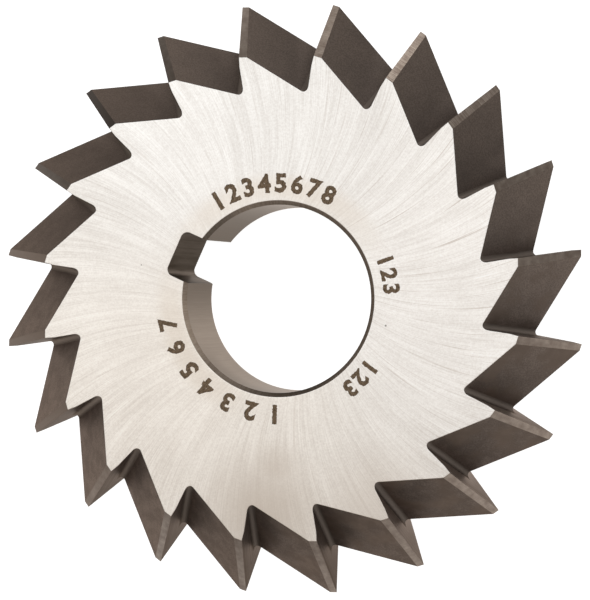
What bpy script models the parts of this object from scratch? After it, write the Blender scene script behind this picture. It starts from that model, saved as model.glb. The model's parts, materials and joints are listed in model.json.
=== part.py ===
"""Double angle milling cutter: a wheel of tool steel with a V-shaped, toothed rim and a keyed bore.

Metres, +Z up. The cutter lies on one of its ground side faces, with its axis along +Z and the
origin on the axis, level with that face. It turns anticlockwise, seen from above.
"""

import math

import bmesh
import bpy
from mathutils import Matrix, Vector

# Overall size
OUTSIDE_DIAMETER = 0.1016
WIDTH = 0.01905
INCLUDED_ANGLE = math.radians(90.0)

# Bore and keyway
BORE_DIAMETER = 0.03175
BORE_CHAMFER = 0.0007
KEYWAY_WIDTH = 0.0079375
KEYWAY_REACH = 0.03545          # from the far wall of the bore to the floor of the keyway
KEYWAY_CORNER_RADIUS = 0.0012
KEYWAY_DIRECTION = math.radians(154.9)

# Teeth
TOOTH_COUNT = 20
FIRST_TOOTH_DIRECTION = math.radians(8.4)
LAND_WIDTH_AT_SIDE = 0.0014
LAND_WIDTH_AT_APEX = 0.00115
LAND_RELIEF = math.radians(10.0)
BACK_ANGLE = math.radians(41.1)  # between the tooth's back and the tangent at its cutting edge
RAKE_LEAD = 0.00017              # how far the rake wall stands ahead of the cutting edge
RAKE_FACET = 0.0016              # depth of the facet ground along the cutting edge
ROOT_RADIUS = 0.00085

# Allowances: metal that a cut takes away, and how far a cutting tool runs past it
GRINDING_STOCK = 0.0003
OVERRUN = 0.001
EDGE_OVERLAP = 0.0004

# Smoothness
BORE_STEPS = 160
ROOT_STEPS = 5
CORNER_SEGMENTS = 5
MERGE_DISTANCE = 0.00001

APEX_RADIUS = OUTSIDE_DIAMETER / 2
BORE_RADIUS = BORE_DIAMETER / 2
MID_HEIGHT = WIDTH / 2
SIDE_STEEPNESS = math.tan(INCLUDED_ANGLE / 2)
SIDE_RADIUS = APEX_RADIUS - MID_HEIGHT / SIDE_STEEPNESS
PITCH = 2 * math.pi / TOOTH_COUNT

STEEL_COLOUR = (0.62, 0.59, 0.55, 1.0)
STEEL_ROUGHNESS = 0.35
SHARP_ANGLE = math.radians(25.0)


def clear_scene():
    """Remove everything, so that the model starts from an empty scene."""
    for item in list(bpy.data.objects):
        bpy.data.objects.remove(item, do_unlink=True)
    for group in list(bpy.data.collections):
        bpy.data.collections.remove(group)


def new_collection(name):
    """Add a collection to the scene."""
    group = bpy.data.collections.new(name)
    bpy.context.scene.collection.children.link(group)
    return group


def edge_radius(offset):
    """Radius of the cutting edges at this height above (or below) mid-width."""
    return APEX_RADIUS - abs(offset) / SIDE_STEEPNESS


def land_width(offset):
    """Width of the ground land behind the cutting edge: a little narrower at the apex."""
    share = abs(offset) / MID_HEIGHT
    return LAND_WIDTH_AT_APEX + (LAND_WIDTH_AT_SIDE - LAND_WIDTH_AT_APEX) * share


def direction(angle):
    """Unit vector in the XY plane."""
    return Vector((math.cos(angle), math.sin(angle)))


def crossing(point_a, along_a, point_b, along_b):
    """Point where two lines in the plane meet."""
    gap = point_b - point_a
    scale = along_a.x * along_b.y - along_a.y * along_b.x
    run = (gap.x * along_b.y - gap.y * along_b.x) / scale
    return point_a + along_a * run


def fillet(corner, towards_a, towards_b, radius, steps):
    """Points of an arc that rounds a corner, from the side towards A to the side towards B."""
    half = towards_a.angle(towards_b) / 2
    centre = corner + (towards_a + towards_b).normalized() * (radius / math.sin(half))
    start = corner + towards_a * (radius / math.tan(half)) - centre
    end = corner + towards_b * (radius / math.tan(half)) - centre
    sweep = start.angle_signed(end)
    points = []
    for step in range(steps + 1):
        turn = Matrix.Rotation(-sweep * step / steps, 2)
        points.append(centre + turn @ start)
    return points


def gullet_outline(offset):
    """Outline of one gullet, square to the axis, at this height above mid-width.

    The tooth at angle 0 gives its land and back. The next one clockwise gives its rake wall,
    with the facet ground along its cutting edge. Outside the teeth the outline also takes in
    the grinding stock, and it overlaps its neighbours there.
    """
    radius = edge_radius(offset)
    edge = Vector((radius, 0.0))
    land = direction(-math.pi / 2 - LAND_RELIEF)
    back = direction(-math.pi / 2 - BACK_ANGLE)
    heel = edge + land * land_width(offset)

    outward = direction(-PITCH)
    ahead = direction(math.pi / 2 - PITCH)
    next_edge = outward * radius
    bend = outward * (radius - RAKE_FACET) + ahead * RAKE_LEAD
    facet = (next_edge - bend).normalized()

    root = crossing(heel, back, bend, outward)
    clear_radius = (radius + GRINDING_STOCK + OVERRUN) / math.cos(PITCH / 2)
    outline = [edge - land * EDGE_OVERLAP, heel]
    outline += fillet(root, -back, outward, ROOT_RADIUS, ROOT_STEPS)
    outline += [bend, next_edge + facet * EDGE_OVERLAP]
    outline += [outward * clear_radius, direction(0.0) * clear_radius]
    return outline


def make_gullet_mesh():
    """Loft one gullet from below the cutter, out to the apex and in again above the cutter."""
    reach = MID_HEIGHT + OVERRUN
    shape = bmesh.new()
    rings = []
    for offset in (-reach, 0.0, reach):
        height = MID_HEIGHT + offset
        rings.append([shape.verts.new((point.x, point.y, height)) for point in gullet_outline(offset)])
    count = len(rings[0])
    for lower, upper in zip(rings, rings[1:]):
        for index in range(count):
            after = (index + 1) % count
            shape.faces.new((lower[index], lower[after], upper[after], upper[index]))
    shape.faces.new(rings[0])
    shape.faces.new(rings[-1])
    bmesh.ops.recalc_face_normals(shape, faces=shape.faces)
    mesh = bpy.data.meshes.new("gullet")
    shape.to_mesh(mesh)
    shape.free()
    return mesh


def make_keyway_mesh():
    """Block that broaches the keyway: from inside the bore to its floor, with two round corners."""
    floor = KEYWAY_REACH - BORE_RADIUS
    inner = BORE_RADIUS / 2
    size = (floor - inner, KEYWAY_WIDTH, WIDTH + 2 * OVERRUN)
    middle = ((floor + inner) / 2, 0.0, MID_HEIGHT)
    shape = bmesh.new()
    bmesh.ops.create_cube(shape, size=1.0)
    bmesh.ops.scale(shape, vec=size, verts=shape.verts)
    bmesh.ops.translate(shape, vec=middle, verts=shape.verts)
    corners = []
    for edge in shape.edges:
        a, b = edge.verts
        upright = abs(a.co.z - b.co.z) > WIDTH
        if upright and a.co.x > BORE_RADIUS:
            corners.append(edge)
    bmesh.ops.bevel(shape, geom=corners, offset=KEYWAY_CORNER_RADIUS, segments=CORNER_SEGMENTS,
                    profile=0.5, affect="EDGES")
    mesh = bpy.data.meshes.new("keyway")
    shape.to_mesh(mesh)
    shape.free()
    return mesh


def add_cutting_tool(name, mesh, angle, group):
    """Place a cutting shape, turned about the axis. It only cuts, so it doesn't render."""
    tool = bpy.data.objects.new(name, mesh)
    tool.rotation_euler = (0.0, 0.0, angle)
    tool.display_type = "WIRE"
    tool.hide_render = True
    group.objects.link(tool)


def make_blank():
    """Turn the blank: two cones that meet at the apex, ground sides and a chamfered bore."""
    side = SIDE_RADIUS + GRINDING_STOCK
    apex = APEX_RADIUS + GRINDING_STOCK
    rim = BORE_RADIUS + BORE_CHAMFER
    profile = [
        (rim, WIDTH),
        (side, WIDTH),
        (apex, MID_HEIGHT),
        (side, 0.0),
        (rim, 0.0),
        (BORE_RADIUS, BORE_CHAMFER),
        (BORE_RADIUS, WIDTH - BORE_CHAMFER),
    ]
    points = [(radius, 0.0, height) for radius, height in profile]
    edges = [(index, (index + 1) % len(points)) for index in range(len(points))]
    mesh = bpy.data.meshes.new("milling_cutter")
    mesh.from_pydata(points, edges, [])
    blank = bpy.data.objects.new("milling_cutter", mesh)
    turn = blank.modifiers.new("turn", "SCREW")
    turn.axis = "Z"
    turn.angle = 2 * math.pi
    turn.steps = BORE_STEPS
    turn.render_steps = BORE_STEPS
    turn.use_merge_vertices = True
    turn.merge_threshold = MERGE_DISTANCE
    return blank


def cut(blank, tools):
    """Cut the blank with every shape in the collection."""
    mill = blank.modifiers.new("mill", "BOOLEAN")
    mill.operation = "DIFFERENCE"
    mill.solver = "EXACT"
    mill.operand_type = "COLLECTION"
    mill.collection = tools


def finish_shading(item):
    """Keep the cut shape as the object's own mesh: round where it is turned, crisp at its edges."""
    graph = bpy.context.evaluated_depsgraph_get()
    mesh = bpy.data.meshes.new_from_object(item.evaluated_get(graph))
    mesh.shade_smooth()
    mesh.set_sharp_from_angle(angle=SHARP_ANGLE)
    item.modifiers.clear()
    item.data = mesh


def steel():
    """Bright ground tool steel."""
    material = bpy.data.materials.new("tool_steel")
    material.use_nodes = True
    shader = material.node_tree.nodes["Principled BSDF"]
    shader.inputs["Base Color"].default_value = STEEL_COLOUR
    shader.inputs["Roughness"].default_value = STEEL_ROUGHNESS
    shader.inputs["Metallic"].default_value = 1.0
    return material


def build():
    clear_scene()
    parts = new_collection("double_angle_milling_cutter")
    tools = new_collection("cutting_shapes")

    gullet = make_gullet_mesh()
    for number in range(TOOTH_COUNT):
        angle = FIRST_TOOTH_DIRECTION + number * PITCH
        add_cutting_tool(f"gullet_{number + 1:02d}", gullet, angle, tools)
    add_cutting_tool("keyway", make_keyway_mesh(), KEYWAY_DIRECTION, tools)

    blank = make_blank()
    parts.objects.link(blank)
    cut(blank, tools)
    finish_shading(blank)
    blank.data.materials.clear()
    blank.data.materials.append(steel())


build()
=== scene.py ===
# %% [markdown]
# # A double angle milling cutter, dressed for a studio picture
# The cutter is one piece of tool steel: a disc with a V-shaped rim, twenty teeth milled into the rim,
# ground side faces and a keyed bore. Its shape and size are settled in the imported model, which comes
# first as the frame. What this lesson adds is the look: a finer model of the same solid, and a finish
# for each kind of surface.

# %% Load the frame
import json
import math

import bmesh
import bpy
from mathutils import Matrix, Vector

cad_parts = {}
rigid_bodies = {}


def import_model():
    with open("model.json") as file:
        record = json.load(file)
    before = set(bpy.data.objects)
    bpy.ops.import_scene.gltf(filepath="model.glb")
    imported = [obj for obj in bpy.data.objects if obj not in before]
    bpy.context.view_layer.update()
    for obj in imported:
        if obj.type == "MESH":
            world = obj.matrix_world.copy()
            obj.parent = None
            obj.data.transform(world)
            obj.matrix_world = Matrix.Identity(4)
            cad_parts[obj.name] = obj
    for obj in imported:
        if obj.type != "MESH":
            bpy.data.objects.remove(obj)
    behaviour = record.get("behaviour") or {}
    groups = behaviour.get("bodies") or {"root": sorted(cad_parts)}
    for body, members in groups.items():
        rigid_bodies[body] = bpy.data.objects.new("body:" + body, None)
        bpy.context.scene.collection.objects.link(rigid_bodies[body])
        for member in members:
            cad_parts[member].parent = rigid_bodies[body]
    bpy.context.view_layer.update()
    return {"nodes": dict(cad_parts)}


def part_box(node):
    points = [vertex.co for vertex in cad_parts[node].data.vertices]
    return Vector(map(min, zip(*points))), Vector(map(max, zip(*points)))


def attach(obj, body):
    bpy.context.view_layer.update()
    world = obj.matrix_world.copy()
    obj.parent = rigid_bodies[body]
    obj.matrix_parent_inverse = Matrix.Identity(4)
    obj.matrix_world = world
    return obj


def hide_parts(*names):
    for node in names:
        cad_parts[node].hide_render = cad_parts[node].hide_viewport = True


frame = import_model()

NODE = "milling_cutter"
low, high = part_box(NODE)
print("frame node", NODE, "from", tuple(low), "to", tuple(high))

# %% [markdown]
# ## Sizes
# The overall sizes are read from the frame, so that the finer model can't drift away from it: the
# width, the radius of the tooth points and the radius of the bore. The vertices of the frame that lie
# furthest from the axis are the points of the teeth, and the nearest ones lie on the wall of the bore.

# %% Overall sizes, from the frame
MM = 0.001
AXIS_TOP = Vector((0.0, 0.0, 1.0))

frame_points = [vertex.co.copy() for vertex in frame["nodes"][NODE].data.vertices]
WIDTH = high.z - low.z
MID_HEIGHT = (high.z + low.z) / 2
APEX_RADIUS = max(point.xy.length for point in frame_points)
BORE_RADIUS = min(point.xy.length for point in frame_points)
print(f"width {WIDTH / MM:.2f} mm, tooth points at radius {APEX_RADIUS / MM:.2f} mm")
print(f"bore radius {BORE_RADIUS / MM:.3f} mm")

# %% [markdown]
# The rest of the form has sizes of its own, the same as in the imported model. Each one is given in the
# cell that first needs it. Directions are angles from the X axis, anticlockwise as seen from above.

# %% Layout of the rim
INCLUDED_ANGLE = math.radians(90.0)     # between the two flanks of the V
TOOTH_COUNT = 20
PITCH = 2 * math.pi / TOOTH_COUNT
FIRST_TOOTH = math.radians(8.4)         # direction of one cutting edge

SIDE_RADIUS = APEX_RADIUS - WIDTH / 2 / math.tan(INCLUDED_ANGLE / 2)
print(f"side faces reach radius {SIDE_RADIUS / MM:.2f} mm, a tooth every {math.degrees(PITCH):.0f} degrees")

# %% [markdown]
# ## The camera
# The picture is taken from above with a long lens. The camera stands a little to the right of the
# axis, so the left wall of the bore and the walls of the lower teeth come into view. A camera looks
# along its own negative Z, so its three directions are worked out from where it stands and aims.

# %% Camera
CAMERA_PLACE = Vector((0.11031, -0.00264, 0.52428))
CAMERA_AIM = Vector((0.002985, -0.000255, 0.01905))
CAMERA_ROLL_HINT = Vector((0.0167, 1.0, 0.0))    # what points up in the picture
LENS = 184.35

backward = (CAMERA_PLACE - CAMERA_AIM).normalized()
rightward = CAMERA_ROLL_HINT.cross(backward).normalized()
upward = backward.cross(rightward)
camera_turn = Matrix((rightward, upward, backward)).transposed().to_4x4()
camera = bpy.data.objects.new("camera", bpy.data.cameras.new("camera"))
camera.data.lens = LENS
camera.matrix_world = Matrix.Translation(CAMERA_PLACE) @ camera_turn
bpy.context.scene.collection.objects.link(camera)
bpy.context.scene.camera = camera
print(f"camera {CAMERA_PLACE.length:.3f} m away, lens {LENS} mm")

# %% [markdown]
# ## Small helpers for working by hand
# An operator acts on whatever is selected, so each step first selects one object, and then picks its
# faces or edges in code, by where they lie and which way they point.

# %% Selecting and editing
def work_on(item):
    """Make this the only selected object, and the active one."""
    bpy.ops.object.select_all(action="DESELECT")
    item.select_set(True)
    bpy.context.view_layer.objects.active = item


def enter(item):
    """Start editing one object."""
    work_on(item)
    bpy.ops.object.mode_set(mode="EDIT")


def leave():
    """Stop editing."""
    bpy.ops.object.mode_set(mode="OBJECT")


def pick(kind, test):
    """In edit mode, select the parts of one kind that pass a test, and return how many there are."""
    bpy.ops.mesh.select_mode(type=kind)
    bpy.ops.mesh.select_all(action="DESELECT")
    mesh = bpy.context.edit_object.data
    shape = bmesh.from_edit_mesh(mesh)
    parts = {"VERT": shape.verts, "EDGE": shape.edges, "FACE": shape.faces}[kind]
    chosen = [part for part in parts if test(part)]
    for part in chosen:
        part.select_set(True)
    bmesh.update_edit_mesh(mesh)
    return len(chosen)


def settle(item):
    """Put the object's place and turn into its mesh, so that the object sits at the origin."""
    work_on(item)
    bpy.ops.object.transform_apply(location=True, rotation=True, scale=True)


print("helpers ready")

# %% [markdown]
# ## Names for the finishes
# A milling tool leaves its own marks on the metal, so in this lesson a cutting shape carries the finish
# that it leaves. The materials are made here as empty names. Their node trees are filled in further
# down, one step for each finish.

# %% Finishes
FINISH_NAMES = (
    "ground_side_face",
    "ground_land",
    "milled_tooth_back",
    "tooth_face",
    "gullet_root",
    "bore_wall",
    "bore_chamfer",
    "broached_keyway",
    "etched_number",
)
FINISHES = {name: bpy.data.materials.new(name) for name in FINISH_NAMES}


def coat(item, name):
    """Give the whole object one finish."""
    item.data.materials.clear()
    item.data.materials.append(FINISHES[name])


def coat_selected(item, name):
    """In edit mode, give the selected faces a finish of their own."""
    slots = item.data.materials
    if name not in slots:
        slots.append(FINISHES[name])
    item.active_material_index = slots.find(name)
    bpy.ops.object.material_slot_assign()


print(len(FINISHES), "finishes named")

# %% [markdown]
# ## The blank
# The real cutter starts as a turned disc. Here it starts as a plain cylinder of the right width. A cut
# at mid-width adds a ring there, and shrinking the top and bottom rings turns the straight rim into a V.
# The rim is left a little too big all round, as a turned blank is, so that the tools have metal to take.

# %% Turn the blank
RIM_STEPS = 240
STOCK = 0.3 * MM      # metal left on the blank for the tools to take away


def lies_flat(face):
    """Whether a face looks more up or down than sideways."""
    return abs(face.normal.z) > 0.5


bpy.ops.object.select_all(action="DESELECT")
bpy.ops.mesh.primitive_cylinder_add(
    vertices=RIM_STEPS, radius=APEX_RADIUS + STOCK, depth=WIDTH, location=(0.0, 0.0, MID_HEIGHT))
cutter = bpy.context.object
cutter.name = "milling_cutter_body"
settle(cutter)
coat(cutter, "ground_side_face")

enter(cutter)
bpy.ops.mesh.select_all(action="SELECT")
bpy.ops.mesh.bisect(plane_co=(0.0, 0.0, MID_HEIGHT), plane_no=AXIS_TOP)
side_share = (SIDE_RADIUS + STOCK) / (APEX_RADIUS + STOCK)
pick("FACE", lies_flat)
bpy.ops.transform.resize(value=(side_share, side_share, 1.0), center_override=(0.0, 0.0, MID_HEIGHT))
leave()
print("blank:", len(cutter.data.polygons), "faces")

# %% [markdown]
# ## One gullet tool
# The space between two teeth is bounded by flat planes. Behind its cutting edge a tooth has a narrow
# ground land and a long sloping back. In front it has a nearly radial wall, with a small facet ground
# along the edge. The planes come from three straight lines, which all run from a side face out to the
# apex: the cutting edge, the heel behind the land, and the bend where the facet starts.

# %% Planes of the tooth form
LAND_AT_SIDE = 1.4 * MM        # width of a land at the side faces
LAND_AT_APEX = 1.15 * MM
LAND_RELIEF = math.radians(10.0)
BACK_ANGLE = math.radians(41.1)
RAKE_LEAD = 0.17 * MM          # how far the wall stands ahead of its cutting edge
RAKE_FACET = 1.6 * MM          # depth of the facet


def heading(angle):
    """Unit vector in the plane of the disc."""
    return Vector((math.cos(angle), math.sin(angle), 0.0))


def plane_through(point, along_one, along_other, free_side):
    """A plane through a point and along two lines. Its normal points to the free side, away from metal."""
    normal = along_one.cross(along_other).normalized()
    if normal.dot(free_side) < 0:
        normal = -normal
    return point, normal


def back_planes(side):
    """Land and back of the tooth at angle 0, above (side 1) or below (side -1) mid-width."""
    apex = Vector((APEX_RADIUS, 0.0, MID_HEIGHT))
    corner = Vector((SIDE_RADIUS, 0.0, MID_HEIGHT + side * WIDTH / 2))
    land_run = heading(-math.pi / 2 - LAND_RELIEF)
    back_run = heading(-math.pi / 2 - BACK_ANGLE)
    heel_apex = apex + land_run * LAND_AT_APEX
    heel_corner = corner + land_run * LAND_AT_SIDE
    free_side = Vector((1.0, 0.0, side))
    land = plane_through(apex, corner - apex, land_run, free_side)
    back = plane_through(heel_apex, heel_corner - heel_apex, back_run, free_side)
    return land, back


def front_planes(side):
    """Wall of the next tooth clockwise, and the facet ground along its cutting edge."""
    outward = heading(-PITCH)
    ahead = heading(math.pi / 2 - PITCH)
    edge_run = outward * (SIDE_RADIUS - APEX_RADIUS) + AXIS_TOP * (side * WIDTH / 2)
    apex = outward * APEX_RADIUS + AXIS_TOP * MID_HEIGHT
    bend = apex - outward * RAKE_FACET + ahead * RAKE_LEAD
    return (bend, ahead), plane_through(bend, edge_run, apex - bend, ahead)


upper_land, upper_back = back_planes(1)
lower_land, lower_back = back_planes(-1)
wall, upper_facet = front_planes(1)
lower_facet = front_planes(-1)[1]
print("normal of the upper land:", tuple(round(value, 3) for value in upper_land[1]))

# %% [markdown]
# The tool is carved from blocks by slicing, as a gem is cut. Each slice throws away what lies on one
# side of a plane, fills the cut, and gives the new face the finish that it will leave on the steel.
# Two blocks become the back of one tooth, with its lands, and the front of the next tooth, with its
# wall and facets. Both are taken out of a third block, and what is left is the gullet.

# %% Carve the gullet tool
BLOCK_PLACE = heading(-PITCH / 2) * SIDE_RADIUS + AXIS_TOP * MID_HEIGHT
BLOCK_SIZE = 26 * MM
EDGE_OVERLAP = math.radians(0.5)    # how far the tool runs on past the cutting edge
ON_PLANE = 0.001 * MM
SAME_WAY = 0.999                    # cosine at which two normals count as parallel


def on_plane(face, plane):
    """Whether a face lies in a plane."""
    point, normal = plane
    touches = abs((face.calc_center_median() - point).dot(normal)) < ON_PLANE
    return touches and abs(face.normal.dot(normal)) > SAME_WAY


def carve(name, size, slices):
    """A block cut by planes. Each slice throws away the side that its normal points to."""
    bpy.ops.object.select_all(action="DESELECT")
    bpy.ops.mesh.primitive_cube_add(size=size, location=BLOCK_PLACE)
    block = bpy.context.object
    block.name = name
    settle(block)
    coat(block, "milled_tooth_back")
    enter(block)
    for plane, finish in slices:
        bpy.ops.mesh.select_all(action="SELECT")
        bpy.ops.mesh.bisect(plane_co=plane[0], plane_no=plane[1], use_fill=True, clear_outer=True)
        pick("FACE", lambda face: on_plane(face, plane))
        coat_selected(block, finish)
    leave()
    return block


def cut_away(item, other):
    """Cut one object with another, and keep the finish that each face had."""
    work_on(item)
    step = item.modifiers.new("step", "BOOLEAN")
    step.operation = "DIFFERENCE"
    step.solver = "EXACT"
    step.material_mode = "TRANSFER"
    step.object = other
    bpy.ops.object.modifier_apply(modifier=step.name)
    bpy.data.objects.remove(other, do_unlink=True)


tooth_behind = carve("tooth_behind", 2 * BLOCK_SIZE, [
    (upper_land, "ground_land"), (lower_land, "ground_land"),
    (upper_back, "milled_tooth_back"), (lower_back, "milled_tooth_back")])
tooth_in_front = carve("tooth_in_front", 2 * BLOCK_SIZE, [
    (wall, "tooth_face"), (upper_facet, "tooth_face"), (lower_facet, "tooth_face")])
past_edge = (Vector(), heading(math.pi / 2 + EDGE_OVERLAP))
gullet_tool = carve("gullet_tool", BLOCK_SIZE, [(past_edge, "ground_land")])
cut_away(gullet_tool, tooth_behind)
cut_away(gullet_tool, tooth_in_front)
print("gullet tool:", len(gullet_tool.data.polygons), "faces before its root is rounded")

# %% [markdown]
# The corner of a real milling wheel is rounded, so it leaves a rounded root, and the hardened tooth
# doesn't crack there. The tool's two deepest edges get a bevel. An offset of the radius over the
# tangent of half the corner's angle gives the bevel that radius.

# %% Round the root
ROOT_RADIUS = 0.85 * MM
ROOT_SEGMENTS = 12


def is_root(edge):
    """Whether an edge is where a back meets the wall."""
    faces = edge.link_faces
    meets_wall = any(on_plane(face, wall) for face in faces)
    meets_back = any(on_plane(face, upper_back) or on_plane(face, lower_back) for face in faces)
    return meets_wall and meets_back


root_half_angle = (math.pi - upper_back[1].angle(wall[1])) / 2
enter(gullet_tool)
roots = pick("EDGE", is_root)
gullet_tool.data.materials.append(FINISHES["gullet_root"])
bpy.ops.mesh.bevel(
    offset=ROOT_RADIUS / math.tan(root_half_angle), offset_type="OFFSET", segments=ROOT_SEGMENTS,
    profile=0.5, material=gullet_tool.data.materials.find("gullet_root"))
leave()
print(roots, "root edges rounded,", len(gullet_tool.data.polygons), "faces")

# %% [markdown]
# ## Milling the teeth
# A dividing head turns the real blank one pitch at a time. The loop does the same with copies of the
# tool: each has its own mesh and is turned about the axis. They wait in a group until all the tools
# are ready.

# %% Set up the twenty gullet tools
def turned_copy(item, angle):
    """A copy with its own mesh, turned about the axis."""
    copy = item.copy()
    copy.data = item.data.copy()
    bpy.context.scene.collection.objects.link(copy)
    copy.rotation_euler.z = angle
    settle(copy)
    return copy


tools = bpy.data.collections.new("cutting_tools")
bpy.context.scene.collection.children.link(tools)


def set_up(tool):
    """Move a tool to the group that cuts together."""
    for group in list(tool.users_collection):
        group.objects.unlink(tool)
    tools.objects.link(tool)


for number in range(TOOTH_COUNT):
    set_up(turned_copy(gullet_tool, FIRST_TOOTH + number * PITCH))
bpy.data.objects.remove(gullet_tool, do_unlink=True)

# %% [markdown]
# The bore tool is a cylinder. Two cuts give it a ring at each end of the bore, and its end caps are
# widened, so the stretches past those rings flare out and cut the chamfers.

# %% Bore tool
BORE_STEPS = 256
BORE_CHAMFER = 0.7 * MM
OVERRUN = 1.0 * MM    # how far a tool runs past the metal

bpy.ops.object.select_all(action="DESELECT")
bpy.ops.mesh.primitive_cylinder_add(
    vertices=BORE_STEPS, radius=BORE_RADIUS, depth=WIDTH + 2 * OVERRUN, location=(0.0, 0.0, MID_HEIGHT))
bore_tool = bpy.context.object
bore_tool.name = "bore_tool"
settle(bore_tool)
coat(bore_tool, "bore_wall")
enter(bore_tool)
for height in (BORE_CHAMFER, WIDTH - BORE_CHAMFER):
    bpy.ops.mesh.select_all(action="SELECT")
    bpy.ops.mesh.bisect(plane_co=(0.0, 0.0, height), plane_no=AXIS_TOP)
pick("FACE", lies_flat)
flare = 1 + (BORE_CHAMFER + OVERRUN) / BORE_RADIUS
bpy.ops.transform.resize(value=(flare, flare, 1.0), center_override=(0.0, 0.0, MID_HEIGHT))
flares = pick("FACE", lambda face: 0.1 < abs(face.normal.z) < 0.9)
coat_selected(bore_tool, "bore_chamfer")
leave()
set_up(bore_tool)
print("bore tool:", flares, "faces on its flares")

# %% [markdown]
# A real keyway is pulled out of the bore's wall by a broach, a toothed bar of the keyway's section.
# The keyway tool is a block of that section with its two outer corners rounded.

# %% Keyway tool
KEYWAY_WIDTH = 7.94 * MM
KEYWAY_FLOOR = 19.575 * MM     # its distance from the axis
KEYWAY_CORNER = 1.2 * MM
KEYWAY_SEGMENTS = 8
KEYWAY_DIRECTION = math.radians(154.9)

keyway_start = BORE_RADIUS / 2
bpy.ops.object.select_all(action="DESELECT")
bpy.ops.mesh.primitive_cube_add(
    size=1.0,
    location=((KEYWAY_FLOOR + keyway_start) / 2, 0.0, MID_HEIGHT),
    scale=(KEYWAY_FLOOR - keyway_start, KEYWAY_WIDTH, WIDTH + 2 * OVERRUN))
keyway_tool = bpy.context.object
keyway_tool.name = "keyway_tool"
settle(keyway_tool)
coat(keyway_tool, "broached_keyway")
enter(keyway_tool)
pick("EDGE", lambda edge: all(vert.co.x > BORE_RADIUS for vert in edge.verts)
     and abs(edge.verts[0].co.z - edge.verts[1].co.z) > WIDTH)
bpy.ops.mesh.bevel(offset=KEYWAY_CORNER, offset_type="OFFSET", segments=KEYWAY_SEGMENTS, profile=0.5)
leave()
keyway_tool.rotation_euler.z = KEYWAY_DIRECTION
settle(keyway_tool)
set_up(keyway_tool)
print(f"keyway floor at radius {KEYWAY_FLOOR / MM:.2f} mm")

# %% [markdown]
# All the tools cut in one operation, which keeps the narrow ribs between two gullets true. The exact
# solver copes with faces that only just meet, and the transfer setting gives each cut face the finish
# of the tool that made it.

# %% Cut everything at once
work_on(cutter)
mill = cutter.modifiers.new("mill", "BOOLEAN")
mill.operation = "DIFFERENCE"
mill.solver = "EXACT"
mill.material_mode = "TRANSFER"
mill.operand_type = "COLLECTION"
mill.collection = tools
bpy.ops.object.modifier_apply(modifier=mill.name)
for tool in list(tools.objects):
    bpy.data.objects.remove(tool, do_unlink=True)
bpy.data.collections.remove(tools)
print("cut cutter:", len(cutter.data.polygons), "faces")

# %% [markdown]
# ## Breaking the edges
# A stone has taken the burr off the edges of the side faces, so they catch a thin line of light. The
# edges that lie in the two side faces get a very small bevel, and the cutting edges stay sharp. Before
# that, points that lie on top of each other are merged, and faces that lie in one plane are joined.

# %% Break the edges of the side faces
EDGE_BREAK = 0.07 * MM
MERGE = 0.002 * MM
IN_ONE_PLANE = math.radians(0.2)
CORNER = math.radians(20.0)         # an edge that turns less than this is no corner


def in_side_face(edge):
    """Whether a corner edge lies in the upper or the lower side face."""
    heights = [vert.co.z for vert in edge.verts]
    at_face = max(heights) < ON_PLANE or min(heights) > WIDTH - ON_PLANE
    return at_face and edge.calc_face_angle(0.0) > CORNER


enter(cutter)
bpy.ops.mesh.select_all(action="SELECT")
bpy.ops.mesh.remove_doubles(threshold=MERGE)
bpy.ops.mesh.dissolve_limited(angle_limit=IN_ONE_PLANE)
broken = pick("EDGE", in_side_face)
bpy.ops.mesh.bevel(offset=EDGE_BREAK, offset_type="OFFSET", segments=2, profile=0.5, clamp_overlap=True)
leave()
print(broken, "edges broken")

# %% [markdown]
# ## Etched numbers
# Cutters carry marks that are etched into the side face around the bore. Here they are plain numbers
# that count up from one in each group, as on a dial. Each starts as a typed number, which is a curve.
# Where two of a curve's points almost touch, a bolder outline would cross itself, so one of them goes.
# Then the curve is made bolder and turned into a mesh.

# %% Type one number
MARK_WEIGHT = 0.042       # how much bolder than the plain typeface, as a share of its size
TINY_GAP = 0.01           # points of a typeface that are closer than this are one point
CURVE_STEPS = 3           # straight pieces between two of a curve's points


def typed_number(number):
    """One number as a flat mesh, bolder than the plain typeface."""
    bpy.ops.object.select_all(action="DESELECT")
    bpy.ops.object.text_add(location=(0.0, 0.0, 0.0))
    item = bpy.context.object
    item.data.body = str(number)
    item.data.align_x = "CENTER"
    bpy.ops.object.convert(target="CURVE")
    item = bpy.context.object
    bpy.ops.object.mode_set(mode="EDIT")
    bpy.ops.curve.select_all(action="DESELECT")
    for spline in item.data.splines:
        for point, after in zip(spline.bezier_points, spline.bezier_points[1:]):
            after.select_control_point = (after.co - point.co).length < TINY_GAP
    bpy.ops.curve.delete(type="VERT")
    leave()
    item.data.offset = MARK_WEIGHT
    item.data.resolution_u = CURVE_STEPS
    bpy.ops.object.convert(target="MESH")
    return bpy.context.object


print("numbers can be typed")

# %% [markdown]
# An etched outline is never crisp, because the acid creeps. The number is scaled and laid on the side
# face, and all but its outline is deleted. The outline is divided into short pieces, and a displace
# modifier with a cloudy texture shifts their ends a little.

# %% Lay it down and roughen its outline
MARK_RADIUS = 19.5 * MM
MARK_DEPTH = 0.03 * MM
MARK_MERGE = 0.02 * MM
MARK_STEP = 0.2 * MM      # longest straight piece of outline
MARK_RAGGED = 0.26 * MM   # strength of the shift
MARK_GRAIN = 0.3 * MM     # size of the clouds that shift it

etch_grain = bpy.data.textures.new("etch_grain", "CLOUDS")
etch_grain.cloud_type = "COLOR"
etch_grain.noise_scale = MARK_GRAIN


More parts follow.
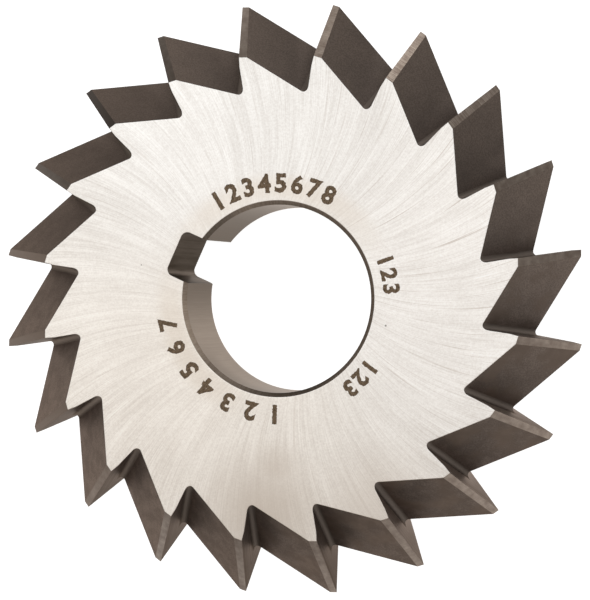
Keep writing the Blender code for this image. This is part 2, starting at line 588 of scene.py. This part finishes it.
def lay_down(item, angle, size):
    """Give a typed number its height and its place in the side face, and return that place."""
    heights = [vert.co.y for vert in item.data.vertices]
    middle = (max(heights) + min(heights)) / 2
    scale = size / (max(heights) - min(heights))
    place = heading(angle) * MARK_RADIUS + AXIS_TOP * (WIDTH - MARK_DEPTH)
    item.data.transform(Matrix.Translation(place)
                        @ Matrix.Rotation(angle - math.pi / 2, 4, "Z")
                        @ Matrix.Scale(scale, 4)
                        @ Matrix.Translation((0.0, -middle, 0.0)))
    return place


def roughen_outline(item):
    """Keep only a flat mesh's outline, in short pieces, and make it slightly ragged."""
    enter(item)
    bpy.ops.mesh.select_all(action="SELECT")
    bpy.ops.mesh.remove_doubles(threshold=MARK_MERGE)
    pick("EDGE", lambda edge: not edge.is_boundary)
    bpy.ops.mesh.delete(type="EDGE")
    while pick("EDGE", lambda edge: edge.calc_length() > MARK_STEP):
        bpy.ops.mesh.subdivide(number_cuts=1)
    leave()
    creep = item.modifiers.new("creep", "DISPLACE")
    creep.texture = etch_grain
    creep.texture_coords = "LOCAL"
    creep.direction = "RGB_TO_XYZ"
    creep.strength = MARK_RAGGED
    bpy.ops.object.modifier_apply(modifier=creep.name)


print("outline pieces up to", round(MARK_STEP / MM, 2), "mm")

# %% [markdown]
# The outline is flattened, filled and extruded to a thin slab, which reaches from the bottom of the
# etching to just above the face. The groups go around the bore, each with its own first direction.

# %% Number tools
MARK_GROUPS = (    # direction of the first number, step to the next, how many, and their height
    (121.0, -8.4, 8, 3.3 * MM),
    (18.3, -7.2, 3, 2.9 * MM),
    (323.0, -7.2, 3, 3.0 * MM),
    (267.5, -12.6, 7, 3.3 * MM),
)


def number_tool(number, angle, size):
    """A thin ragged slab in the shape of one number, with its top pointing away from the bore."""
    item = typed_number(number)
    place = lay_down(item, angle, size)
    roughen_outline(item)
    enter(item)
    bpy.ops.mesh.select_all(action="SELECT")
    bpy.ops.transform.resize(value=(1.0, 1.0, 0.0), center_override=place)
    bpy.ops.mesh.fill()
    bpy.ops.mesh.extrude_region_move(TRANSFORM_OT_translate={"value": (0.0, 0.0, 2 * MARK_DEPTH)})
    bpy.ops.mesh.select_all(action="SELECT")
    bpy.ops.mesh.normals_make_consistent(inside=False)
    leave()
    coat(item, "etched_number")
    return item


number_tools = []
for first, step, count, size in MARK_GROUPS:
    for index in range(count):
        number_tools.append(number_tool(index + 1, math.radians(first + step * index), size))
print(len(number_tools), "numbers")

# %% [markdown]
# The slabs are joined and cut the cutter together, so the numbers are real hollows and not only a
# colour. Then the round surfaces are shaded smooth, up to the angle at which a step counts as an edge.
# The side faces are shaded flat, so that the hollows in them don't bend their shading.

# %% Etch the numbers
SMOOTH_UP_TO = math.radians(16.0)
STRAIGHT_UP = 0.9999      # height of the normal of a face that looks straight up or down

bpy.ops.object.select_all(action="DESELECT")
for tool in number_tools:
    tool.select_set(True)
bpy.context.view_layer.objects.active = number_tools[0]
bpy.ops.object.join()
cut_away(cutter, number_tools[0])
work_on(cutter)
bpy.ops.object.shade_smooth_by_angle(angle=SMOOTH_UP_TO)
enter(cutter)
pick("FACE", lambda face: abs(face.normal.z) > STRAIGHT_UP)
bpy.ops.mesh.faces_shade_flat()
leave()
print("etched cutter:", len(cutter.data.polygons), "faces,", [m.name for m in cutter.data.materials])

# %% [markdown]
# ## Node helpers
# Every finish is built from nodes, with patterns that read the object's own coordinates. A few helpers
# keep the trees short: one adds a node and fills or links its inputs, and the others make sums, blends
# and soft noise.

# %% Adding nodes
def add(tree, kind, inputs=None, **settings):
    """Add a node, apply its settings, and fill or link its inputs by name or number."""
    node = tree.nodes.new(kind)
    for name, value in settings.items():
        setattr(node, name, value)
    for name, value in (inputs or {}).items():
        if isinstance(value, bpy.types.NodeSocket):
            tree.links.new(value, node.inputs[name])
        else:
            node.inputs[name].default_value = value
    return node


def calc(tree, operation, first, second=0.0, third=0.0):
    """Result of a Math node."""
    return add(tree, "ShaderNodeMath", {0: first, 1: second, 2: third}, operation=operation).outputs[0]


def blend(tree, share, first, second, kind="MIX"):
    """Colour between two colours. Inputs 6 and 7 of a Mix node are its colours, and output 2 is theirs."""
    node = add(tree, "ShaderNodeMix", {0: share, 6: first, 7: second}, data_type="RGBA", blend_type=kind)
    return node.outputs[2]


def tint(tree, share, colour, times):
    """Make a colour some times lighter or darker where the share is 1."""
    return blend(tree, share, colour, (times, times, times, 1.0), "MULTIPLY")


def noise(tree, place, detail=2.0, roughness=0.5, scale=1.0):
    """Soft random pattern, mostly between 0.3 and 0.7."""
    values = {"Vector": place, "Scale": scale, "Detail": detail, "Roughness": roughness}
    return add(tree, "ShaderNodeTexNoise", values).outputs[0]


def level(tree, value, low_end, high_end):
    """Map a value between two limits to 0 to 1, with soft ends."""
    values = {"Value": value, "From Min": low_end, "From Max": high_end}
    return add(tree, "ShaderNodeMapRange", values, interpolation_type="SMOOTHSTEP").outputs[0]


def linear(red, green, blue):
    """Colour of a 0 to 255 picture value, as the shader needs it."""
    def one(value):
        share = value / 255
        return share / 12.92 if share <= 0.04045 else ((share + 0.055) / 1.055) ** 2.4
    return one(red), one(green), one(blue), 1.0


print("a mid grey of 128 is", round(linear(128, 128, 128)[0], 3), "in the shader")

# %% [markdown]
# The cutter is round, so its patterns are easier to write around the axis than along X, Y and Z. These
# helpers give the distance and the direction from the axis, and the distance from mid-width. A
# direction goes round without a seam, which an angle doesn't.

# %% Coordinates around the axis
def place_on(tree):
    """Place on the cutter, in its own coordinates."""
    return add(tree, "ShaderNodeTexCoord").outputs["Object"]


def height_on(tree):
    """Height above the lower side face."""
    return add(tree, "ShaderNodeSeparateXYZ", {0: place_on(tree)}).outputs[2]


def flat_place(tree):
    """Place on the cutter without its height."""
    parts = add(tree, "ShaderNodeSeparateXYZ", {0: place_on(tree)}).outputs
    return add(tree, "ShaderNodeCombineXYZ", {0: parts[0], 1: parts[1]}).outputs[0]


def distance_out(tree):
    """Distance from the axis."""
    return add(tree, "ShaderNodeVectorMath", {0: flat_place(tree)}, operation="LENGTH").outputs["Value"]


def direction_out(tree):
    """Unit direction from the axis."""
    return add(tree, "ShaderNodeVectorMath", {0: flat_place(tree)}, operation="NORMALIZE").outputs["Vector"]


def from_middle(tree):
    """Distance from mid-width, up or down."""
    return calc(tree, "ABSOLUTE", calc(tree, "SUBTRACT", height_on(tree), MID_HEIGHT))


def pattern_place(tree, direction, fineness, rise):
    """Place in a noise: a circle of this radius around the axis, and a rise square to it.

    A larger circle passes through more cells of the noise, so it makes narrower streaks.
    """
    ring = add(tree, "ShaderNodeVectorMath", {0: direction, "Scale": fineness}, operation="SCALE").outputs[0]
    lift = add(tree, "ShaderNodeCombineXYZ", {2: rise}).outputs[0]
    return add(tree, "ShaderNodeVectorMath", {0: ring, 1: lift}, operation="ADD").outputs[0]


print("a fineness of 10 makes about", round(2 * math.pi * 10), "cells around the axis")

# %% [markdown]
# Steel mirrors the room, and what one gullet mirrors is not what the next one does. A plain studio
# can't show all of that, so most finishes also carry painted reflections: painted light and shade that
# make them lighter or darker towards some sides. Every such stretch ends softly, and it stays on the
# metal when the cutter or the camera turns.

# %% Places and directions that stand out
def towards(tree, angle, spread):
    """1 in one direction from the axis, falling softly to 0 at the edge of a spread. Both in degrees."""
    values = {0: direction_out(tree), 1: heading(math.radians(angle))}
    match = add(tree, "ShaderNodeVectorMath", values, operation="DOT_PRODUCT").outputs["Value"]
    return level(tree, match, math.cos(math.radians(spread)), 1.0)


def near(tree, centre, radius):
    """1 at a point of the cutter, falling softly to 0 at a distance from it."""
    values = {0: place_on(tree), 1: centre}
    gap = add(tree, "ShaderNodeVectorMath", values, operation="DISTANCE").outputs["Value"]
    return level(tree, gap, radius, 0.0)


def tones_around(tree, colour, painted_tones):
    """Paint light and shade around the axis. A painted tone is a direction, its spread, and how many times
    as light.
    """
    for angle, spread, times in painted_tones:
        colour = tint(tree, towards(tree, angle, spread), colour, times)
    return colour


print("the edge of a spread of 60 degrees matches by", round(math.cos(math.radians(60.0)), 2))

# %% [markdown]
# Each finish is opened and closed in the same way. Opening sets what is the same all over: how metallic
# and how rough it is, and its glancing colour, the tint of what metal mirrors when it is seen almost
# edge on. Closing links the colour and raises a pattern by a few thousandths of a millimetre.

# %% Opening and closing a finish
def shader_of(tree):
    """The shader that every finish starts with."""
    return tree.nodes["Principled BSDF"]


def start_finish(name, roughness, glancing=(1.0, 1.0, 1.0, 1.0)):
    """Open a finish, and return its node tree."""
    material = FINISHES[name]
    material.use_nodes = True
    shader = shader_of(material.node_tree)
    shader.inputs["Metallic"].default_value = 1.0
    shader.inputs["Roughness"].default_value = roughness
    shader.inputs["Specular Tint"].default_value = glancing
    return material.node_tree


def dress(tree, colour, pattern, depth):
    """Give a finish its colour and a raised pattern."""
    shader = shader_of(tree)
    relief = add(tree, "ShaderNodeBump", {"Height": pattern, "Strength": 1.0, "Distance": depth})
    tree.links.new(relief.outputs[0], shader.inputs["Normal"])
    tree.links.new(colour, shader.inputs["Base Color"])


print("finishes can be opened")

# %% [markdown]
# ## The ground side faces
# A cup wheel grinds the side faces on a turning table. It leaves fine lines that fan out from the bore
# and bend a little, like arcs of the wheel. Three noises make the lines, with almost two thousand,
# some two hundred and fifty and under sixty cells around the axis. The direction is first turned by the
# arc's sag, which bends them. The lines also stretch a highlight sideways, so the shader is anisotropic.

# %% Lines of the ground side face
ARC_RADIUS = 48 * MM       # bend of the grinding lines
ARC_MIDDLE = 27.5 * MM     # where a line is square to the rim
GRIND_LINES = (            # fineness, length of a line, detail and weight
    (300.0, 10 * MM, 2.0, 1.9),
    (40.0, 10 * MM, 1.0, 0.9),
    (9.0, 9 * MM, 0.0, 0.5),
)
MOTTLE = 0.3 * MM          # size of the soft spots between the lines
MOTTLE_WEIGHT = 1.5

tree = start_finish("ground_side_face", roughness=0.36)
shader = shader_of(tree)
shader.inputs["Anisotropic"].default_value = 0.5
tangent = add(tree, "ShaderNodeTangent", direction_type="RADIAL", axis="Z").outputs[0]
tree.links.new(tangent, shader.inputs["Tangent"])

distance = distance_out(tree)
away = calc(tree, "SUBTRACT", distance, ARC_MIDDLE)
sag = calc(tree, "DIVIDE", calc(tree, "MULTIPLY", away, away), -2 * ARC_RADIUS)
sag_angle = calc(tree, "DIVIDE", sag, distance)
turned = {"Vector": direction_out(tree), "Angle": sag_angle}
bent = add(tree, "ShaderNodeVectorRotate", turned, rotation_type="Z_AXIS").outputs[0]

mottle = noise(tree, place_on(tree), detail=1.0, roughness=0.8, scale=1 / MOTTLE)
lines = calc(tree, "MULTIPLY", mottle, MOTTLE_WEIGHT)
patterns = []
for fineness, length, detail, weight in GRIND_LINES:
    rise = calc(tree, "DIVIDE", distance, length)
    pattern = noise(tree, pattern_place(tree, bent, fineness, rise), detail)
    lines = calc(tree, "MULTIPLY_ADD", pattern, weight, lines)
    patterns.append(pattern)
print("ground side face:", len(tree.nodes), "nodes for its lines")

# %% [markdown]
# The sum of the patterns sets the tone, from a line's shadow to almost white. The peaks of one more
# noise are single scratches, crisper on the right than elsewhere. A painted reflection makes the top a
# little darker than the left and the right, and the lower left a little warmer.

# %% Tone of the ground side face
LINES_RANGE = (1.3, 3.5)       # sum of the patterns in the darkest line, and in the lightest
LINE_SHADOW = linear(221, 217, 212)
LINE_LIGHT = linear(255, 254, 251)
SCRATCH_FINENESS = 130.0
SCRATCH_LENGTH = 14 * MM
SCRATCH_PEAKS = (0.6, 0.78)    # values between which that noise becomes a scratch
SCRATCH_STRENGTH = 0.25
SCRATCH_MORE = 0.45            # what the right side adds to that strength
SCRATCH_GREY = linear(196, 187, 178)
PAINTED_WARM_REFLECTION = (1.0, 0.975, 0.94, 1.0)

colour = blend(tree, level(tree, lines, *LINES_RANGE), LINE_SHADOW, LINE_LIGHT)
rise = calc(tree, "DIVIDE", distance, SCRATCH_LENGTH)
scratches = noise(tree, pattern_place(tree, bent, SCRATCH_FINENESS, rise), detail=1.0)
crisp = calc(tree, "MULTIPLY_ADD", towards(tree, 20.0, 80.0), SCRATCH_MORE, SCRATCH_STRENGTH)
scratched = calc(tree, "MULTIPLY", level(tree, scratches, *SCRATCH_PEAKS), crisp)
colour = blend(tree, scratched, colour, SCRATCH_GREY)
# Painted reflection: the lower left warmer, the top darker, the left and the right lighter.
colour = blend(tree, towards(tree, 235.0, 110.0), colour, PAINTED_WARM_REFLECTION, "MULTIPLY")
colour = tones_around(tree, colour, ((208.0, 55.0, 1.06), (80.0, 40.0, 0.95), (0.0, 45.0, 1.06)))
print("ground side face:", len(tree.nodes), "nodes with its tone")

# %% [markdown]
# On top come painted shade and traces of handling: two soft brown patches of painted shade near the
# lower rim and a smaller one above them, the tint that the etching left around two of its groups, and
# two tiny dark pits.

# %% Painted shade, halos and pits
PAINTED_SHADE_SPOTS = (                 # place, radius and strength
    (Vector((-3.0, -36.0, 19.05)) * MM, 15 * MM, 0.75),
    (Vector((16.0, -36.0, 19.05)) * MM, 15 * MM, 0.5),
    (Vector((-1.0, -28.8, 19.05)) * MM, 7 * MM, 0.6),
)
HALOS = ((92.0, 80.0), (207.0, 50.0))    # direction and spread
HALO_RADIUS = MARK_RADIUS - 1 * MM
HALO_FADE = (3.6 * MM, 0.5 * MM)         # distances from that radius with no tint, and with all of it
HALO_STRENGTH = 0.5
PITS = (                   # place and radius
    (Vector((18.4, -4.8, 19.05)) * MM, 0.26 * MM),
    (Vector((-23.6, 6.15, 19.05)) * MM, 0.16 * MM),
)
PAINTED_SHADE_BROWN = linear(205, 194, 182)
HALO_TINT = linear(224, 213, 199)
PIT_DARK = linear(70, 62, 56)

# Painted shade: the side face darker and browner near the lower rim.
painted_shade = 0.0
for centre, radius, strength in PAINTED_SHADE_SPOTS:
    painted_shade_spot = calc(tree, "MULTIPLY", near(tree, centre, radius), strength)
    painted_shade = calc(tree, "MAXIMUM", painted_shade, painted_shade_spot)
colour = blend(tree, painted_shade, colour, PAINTED_SHADE_BROWN)

gap = calc(tree, "ABSOLUTE", calc(tree, "SUBTRACT", distance, HALO_RADIUS))
ring = calc(tree, "MULTIPLY", level(tree, gap, *HALO_FADE), HALO_STRENGTH)
for angle, spread in HALOS:
    halo = calc(tree, "MULTIPLY", ring, towards(tree, angle, spread))
    colour = blend(tree, halo, colour, HALO_TINT)
for centre, radius in PITS:
    colour = blend(tree, near(tree, centre, radius), colour, PIT_DARK)
dress(tree, colour, patterns[0], 0.004 * MM)
print("ground side face:", len(tree.nodes), "nodes")

# %% [markdown]
# ## Dark steel in the gullets
# The gullets were milled before hardening and never ground again, so they keep a dull brown-grey skin.
# The depth under the cutting edges, which slopes with the V of the rim, sets a painted shade: it darkens
# inwards, and painted light makes it a little lighter again beside the root. Painted tones make some
# gullets lighter or darker. Clouds and a fine grain break it up.

# %% Skin of the tooth backs
ROOT_DEPTH = 7.5 * MM
ROOT_PAINTED_LIGHT = (5.2 * MM, 6.8 * MM)    # depths between which the skin lightens
CLOUD = 4 * MM
CLOUD_WEIGHT = 0.8
SHADE_RANGE = (0.2, 1.6)             # depth and clouds together, from the outer shade to the deep one
GRAIN = 0.25 * MM
NOISE_MIDDLE = (0.35, 0.65)          # most of a noise lies between these values
SKIN_OUTSIDE = linear(95, 85, 78)
SKIN_PAINTED_SHADE = linear(79, 71, 66)
DULL = linear(248, 232, 222)         # glancing colour of a dull skin

tree = start_finish("milled_tooth_back", roughness=0.5, glancing=DULL)
under_apex = calc(tree, "SUBTRACT", APEX_RADIUS, distance_out(tree))
depth = calc(tree, "SUBTRACT", under_apex, from_middle(tree))
clouds = noise(tree, place_on(tree), scale=1 / CLOUD)
grain = noise(tree, place_on(tree), scale=1 / GRAIN)
# Painted shade: the skin darkens with depth towards the root.
shade = calc(tree, "MULTIPLY_ADD", clouds, CLOUD_WEIGHT, calc(tree, "DIVIDE", depth, ROOT_DEPTH))
skin = blend(tree, level(tree, shade, *SHADE_RANGE), SKIN_OUTSIDE, SKIN_PAINTED_SHADE)
skin = tint(tree, level(tree, grain, *NOISE_MIDDLE), skin, 0.74)
# Painted light: a little lighter again beside the root.
skin = tint(tree, level(tree, depth, *ROOT_PAINTED_LIGHT), skin, 1.3)
# Painted light and shade towards some sides.
skin = tones_around(tree, skin, (
    (84.0, 26.0, 0.78), (152.0, 34.0, 0.85), (215.0, 45.0, 1.25), (5.0, 30.0, 1.25)))
print("tooth back:", len(tree.nodes), "nodes for its skin")

# %% [markdown]
# The lower teeth look more used. They are browner at the lower right, in blotches that follow the
# clouds, and worn patches a couple of millimetres across show on them. The worn stretch is first made
# lighter, so that the darker patches leave its mean shade as it was.

# %% Wear on the tooth backs
PATCH = 2 * MM
BLOTCH_CLOUDS = (0.4, 0.65)    # values of the clouds between which a blotch sets in
BLOTCH_BROWN = linear(90, 79, 71)

blotch = calc(tree, "MULTIPLY", level(tree, clouds, *BLOTCH_CLOUDS), towards(tree, -45.0, 75.0))
skin = blend(tree, blotch, skin, BLOTCH_BROWN)
patches = noise(tree, place_on(tree), scale=1 / PATCH)
worn = towards(tree, 250.0, 150.0)
skin = tint(tree, worn, skin, 1.12)
skin = tint(tree, calc(tree, "MULTIPLY", level(tree, patches, *NOISE_MIDDLE), worn), skin, 0.78)
dress(tree, skin, grain, 0.003 * MM)
print("tooth back:", len(tree.nodes), "nodes")

# %% [markdown]
# The lands are ground after hardening, so they are a little brighter than the backs. The wheel runs
# across them, and its marks cross the land square to the cutting edge. The place along the edge makes
# those marks, because it changes only in that direction. They show most at the upper right. Painted
# reflections make the lands darker towards the upper right and the bottom, darker still at the left,
# where they stand for a darker side of the room, and darkest at the upper left.

# %% Lands
LAND_MARK = 0.13 * MM
LAND_PATCH = 2 * MM
PATCH_WEIGHT = 0.6
MARKS_STRENGTH = 0.25
MARKS_MORE = 1.3               # what the upper right adds to that strength
LAND_RANGE = (0.05, 0.65)      # patches and marks together, from the dark shade to the light one
LAND_DARK = linear(111, 98, 89)
LAND_LIGHT = linear(154, 142, 131)
LAND_LEFT_PAINTED_SHADE = linear(96, 82, 71)
LAND_UPPER_LEFT_PAINTED_SHADE = linear(52, 44, 37)

tree = start_finish("ground_land", roughness=0.34)
direction = direction_out(tree)
along = calc(tree, "SUBTRACT", distance_out(tree), from_middle(tree))
marks_across = noise(tree, pattern_place(tree, direction, 6.0, calc(tree, "DIVIDE", along, LAND_MARK)))
patches = noise(tree, pattern_place(tree, direction, 40.0, calc(tree, "DIVIDE", along, LAND_PATCH)))
strength = calc(tree, "MULTIPLY_ADD", towards(tree, 58.0, 34.0), MARKS_MORE, MARKS_STRENGTH)
scoring = calc(tree, "MULTIPLY", calc(tree, "SUBTRACT", marks_across, 0.5), strength)
tone = level(tree, calc(tree, "MULTIPLY_ADD", patches, PATCH_WEIGHT, scoring), *LAND_RANGE)
colour = blend(tree, tone, LAND_DARK, LAND_LIGHT)
# Painted reflections: darker at the upper right and the bottom, darker still at the left and the upper left.
colour = tones_around(tree, colour, ((56.0, 70.0, 0.77), (250.0, 28.0, 0.85)))
colour = blend(tree, towards(tree, 190.0, 52.0), colour, LAND_LEFT_PAINTED_SHADE)
colour = blend(tree, towards(tree, 133.0, 32.0), colour, LAND_UPPER_LEFT_PAINTED_SHADE)
dress(tree, colour, marks_across, 0.002 * MM)
print("land:", len(tree.nodes), "nodes")

# %% [markdown]
# The other finishes are plainer. One helper serves them all: a soft streaky noise between two shades,
# with painted light and shade around the axis. The tooth faces, the walls in front of the cutting
# edges, use it first. They are a shade lighter than the backs. Painted light makes them lighter still
# towards the root, and at the lower right.

# %% Tooth faces
WALL_PAINTED_LIGHT_TOP = 47 * MM       # radius where the wall starts to get lighter, inwards
WALL_PAINTED_LIGHT_FOOT = 40 * MM


def streaky_steel(name, dark, light, glancing, roughness, fineness, length, painted_tones=()):
    """Open a finish with one noise between two shades and painted tones, and return its tree, colour and
    streaks.
    """
    tree = start_finish(name, roughness, glancing)
    rise = calc(tree, "DIVIDE", calc(tree, "ADD", distance_out(tree), from_middle(tree)), length)
    streaks = noise(tree, pattern_place(tree, direction_out(tree), fineness, rise), detail=3.0)
    colour = blend(tree, level(tree, streaks, 0.3, 0.7), dark, light)
    return tree, tones_around(tree, colour, painted_tones), streaks


tree, colour, streaks = streaky_steel(
    "tooth_face", linear(78, 70, 65), linear(99, 91, 86), glancing=linear(196, 186, 178),
    roughness=0.46, fineness=120.0, length=0.4 * MM, painted_tones=((-42.0, 42.0, 1.9),))
# Painted light: lighter towards the root.
colour = tint(tree, level(tree, distance_out(tree), WALL_PAINTED_LIGHT_TOP, WALL_PAINTED_LIGHT_FOOT), colour, 2.0)
dress(tree, colour, streaks, 0.001 * MM)
print("tooth face:", len(tree.nodes), "nodes")

# %% [markdown]
# The root is the hollow between the wall and the back. It mirrors both of them and little light, so it
# is a soft dark stripe. Painted light makes it lighter at the left, and painted shade a little darker at
# the bottom.

# %% Gullet roots
# Painted light at the left, painted shade at the bottom.
tree, colour, streaks = streaky_steel(
    "gullet_root", linear(94, 86, 80), linear(110, 101, 94), glancing=linear(176, 166, 156),
    roughness=0.6, fineness=40.0, length=2 * MM, painted_tones=((200.0, 40.0, 1.5), (262.0, 28.0, 0.83)))
dress(tree, colour, streaks, 0.001 * MM)
print("gullet root:", len(tree.nodes), "nodes")

# %% [markdown]
# ## Bore, chamfer, keyway and etching
# The bore is ground smooth, and its wall is a middle grey with long streaks. Painted shade makes it
# darker around the keyway, and just under the rim at the lower left. Painted shade also makes the
# chamfer's thin ring dark at the upper left and at the bottom, and painted light gives it one lighter
# stretch between them.

# %% Bore and chamfer
UNDER_RIM_PAINTED_SHADE = (8 * MM, 17 * MM)    # heights between which the wall darkens

# Painted shade around the keyway.
tree, colour, streaks = streaky_steel(
    "bore_wall", linear(143, 133, 124), linear(157, 147, 138), glancing=linear(219, 209, 200),
    roughness=0.36, fineness=220.0, length=12 * MM, painted_tones=((143.0, 60.0, 0.27),))
# Painted shade just under the rim at the lower left.
under_rim_painted_shade = calc(tree, "MULTIPLY", level(tree, height_on(tree), *UNDER_RIM_PAINTED_SHADE), towards(tree, 245.0, 42.0))
colour = tint(tree, under_rim_painted_shade, colour, 0.68)
dress(tree, colour, streaks, 0.001 * MM)
print("bore wall:", len(tree.nodes), "nodes")

# Painted shade at the upper left and the bottom, painted light between them.
tree, colour, streaks = streaky_steel(
    "bore_chamfer", linear(137, 123, 110), linear(153, 139, 126), glancing=DULL,
    roughness=0.42, fineness=60.0, length=2 * MM,
    painted_tones=((260.0, 64.0, 0.42), (140.0, 34.0, 0.45), (198.0, 27.0, 1.6)))
dress(tree, colour, streaks, 0.002 * MM)
print("bore chamfer:", len(tree.nodes), "nodes")

# %% [markdown]
# The keyway is dark with painted shade, and the broach leaves it streaked along its length. Painted
# light makes one of its sides lighter, and the distance across the keyway tells that side apart from
# the floor. The etching is a flat dark brown in the bottom of the hollows.

# %% Keyway and numbers
PAINTED_LIGHT_SIDE = (-0.4 * KEYWAY_WIDTH, -0.49 * KEYWAY_WIDTH)    # where across it the lighter side starts

# Painted shade: the keyway's recess is dark.
tree, colour, streaks = streaky_steel(
    "broached_keyway", linear(40, 36, 33), linear(72, 66, 62), glancing=linear(200, 192, 184),
    roughness=0.42, fineness=45.0, length=12 * MM)
values = {0: place_on(tree), 1: heading(KEYWAY_DIRECTION - math.pi / 2)}
across = add(tree, "ShaderNodeVectorMath", values, operation="DOT_PRODUCT").outputs["Value"]
# Painted light on one side.
colour = tint(tree, level(tree, across, *PAINTED_LIGHT_SIDE), colour, 3.9)
dress(tree, colour, streaks, 0.002 * MM)
print("keyway:", len(tree.nodes), "nodes")

tree, colour, streaks = streaky_steel(
    "etched_number", linear(94, 80, 64), linear(138, 120, 101), glancing=DULL,
    roughness=0.6, fineness=160.0, length=0.4 * MM)
dress(tree, colour, streaks, 0.004 * MM)
print("numbers:", len(tree.nodes), "nodes")

# %% [markdown]
# ## Floor and light
# The cutter lies on a pale floor under a large soft light. The floor is plain matt for the light that
# falls on it. For the camera, and for what metal mirrors, it adds a little glow of its own, so that it
# shows white while it still keeps the soft shadow of the cutter.

# %% Floor
FLOOR_SIZE = 3.0
FLOOR_DROP = 0.02 * MM    # keeps the floor and the cutter's lower face out of one plane
FLOOR_MATT = (0.5, 0.5, 0.5, 1.0)
FLOOR_GLOW = 0.95
WHITE = (1.0, 1.0, 1.0, 1.0)

bpy.ops.object.select_all(action="DESELECT")
bpy.ops.mesh.primitive_plane_add(size=FLOOR_SIZE, location=(0.0, 0.0, -FLOOR_DROP))
floor = bpy.context.object
floor.name = "floor"

paper = bpy.data.materials.new("floor_paper")
paper.use_nodes = True
tree = paper.node_tree
tree.nodes.clear()
rays = add(tree, "ShaderNodeLightPath").outputs
mirrored = calc(tree, "MAXIMUM", rays["Is Glossy Ray"], rays["Is Transmission Ray"])
seen = calc(tree, "MAXIMUM", rays["Is Camera Ray"], mirrored)
glow_now = calc(tree, "MULTIPLY", seen, FLOOR_GLOW)
matt = add(tree, "ShaderNodeBsdfDiffuse", {"Color": FLOOR_MATT}).outputs[0]
glow = add(tree, "ShaderNodeEmission", {"Color": WHITE, "Strength": glow_now}).outputs[0]
both = add(tree, "ShaderNodeAddShader", {0: matt, 1: glow}).outputs[0]
add(tree, "ShaderNodeOutputMaterial", {"Surface": both})
floor.data.materials.append(paper)
print("floor", FLOOR_SIZE, "m wide")

# %% [markdown]
# One wide panel hangs overhead. Two long low ones stand close to the floor at the right, one behind and
# one in front. They light the flanks of the rim, which slope away from the panel above.

# %% Lights
PANEL_AWAY = 0.9
PANEL_HEIGHT = 0.22
PANEL_MIDDLE = 0.6 * PANEL_HEIGHT    # height of a low panel's middle
OVERHEAD_PLACE = (-0.16, 0.3, 0.66)
OVERHEAD_AIM = (-0.16, 0.3, 0.0)


def soft_light(name, place, aim, width, height, brightness):
    """A soft light panel, as bright as a surface of this value, that looks at a point."""
    data = bpy.data.lights.new(name, "AREA")
    data.shape = "RECTANGLE"
    data.size = width
    data.size_y = height
    data.energy = brightness * math.pi * width * height
    lamp = bpy.data.objects.new(name, data)
    lamp.location = place
    lamp.rotation_euler = (Vector(aim) - Vector(place)).to_track_quat("-Z", "Y").to_euler()
    lamp.visible_camera = False
    bpy.context.scene.collection.objects.link(lamp)


def low_panel(name, angle, width, brightness):
    """A long low panel that stands near the floor and faces the cutter."""
    place = heading(math.radians(angle)) * PANEL_AWAY + AXIS_TOP * PANEL_MIDDLE
    soft_light(name, place, (0.0, 0.0, place.z), width, PANEL_HEIGHT, brightness)


soft_light("overhead", OVERHEAD_PLACE, OVERHEAD_AIM, width=0.9, height=0.76, brightness=0.7)
low_panel("back_right", angle=66.0, width=0.52, brightness=3.2)
low_panel("front_right", angle=-48.0, width=1.3, brightness=1.0)
print(len(bpy.data.lights), "soft lights")

# %% [markdown]
# The rest of the light comes from the studio itself, which is the world's background. Its walls are
# pale, and darker at the horizon. A warm hood, darker too, leans over the cutter from the front, and
# the backs of the lower teeth mirror it.

# %% Studio
WALLS = (0.60, 0.598, 0.592, 1.0)
HORIZON = (0.40, 0.395, 0.385, 1.0)
HORIZON_END = 0.5         # height of a direction at which the walls have their full tone
HOOD = (0.385, 0.325, 0.28, 1.0)
HOOD_LEAN = math.radians(28.0)
HOOD_DIRECTION = Vector((0.0, -math.sin(HOOD_LEAN), math.cos(HOOD_LEAN)))
HOOD_EDGE = math.cos(math.radians(45.0))

world = bpy.data.worlds.new("studio")
bpy.context.scene.world = world
world.use_nodes = True
tree = world.node_tree
sky = add(tree, "ShaderNodeTexCoord").outputs["Generated"]
sky_height = add(tree, "ShaderNodeSeparateXYZ", {0: sky}).outputs[2]
hood = add(tree, "ShaderNodeVectorMath", {0: sky, 1: HOOD_DIRECTION}, operation="DOT_PRODUCT")
shade = blend(tree, level(tree, hood.outputs["Value"], HOOD_EDGE, 1.0), WALLS, HOOD)
shade = blend(tree, level(tree, sky_height, 0.0, HORIZON_END), HORIZON, shade)
tree.links.new(shade, tree.nodes["Background"].inputs["Color"])
bpy.context.scene.view_settings.view_transform = "Standard"
print("studio:", len(tree.nodes), "nodes")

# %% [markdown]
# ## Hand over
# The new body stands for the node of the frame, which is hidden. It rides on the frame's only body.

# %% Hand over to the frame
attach(cutter, "root")
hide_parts(NODE)
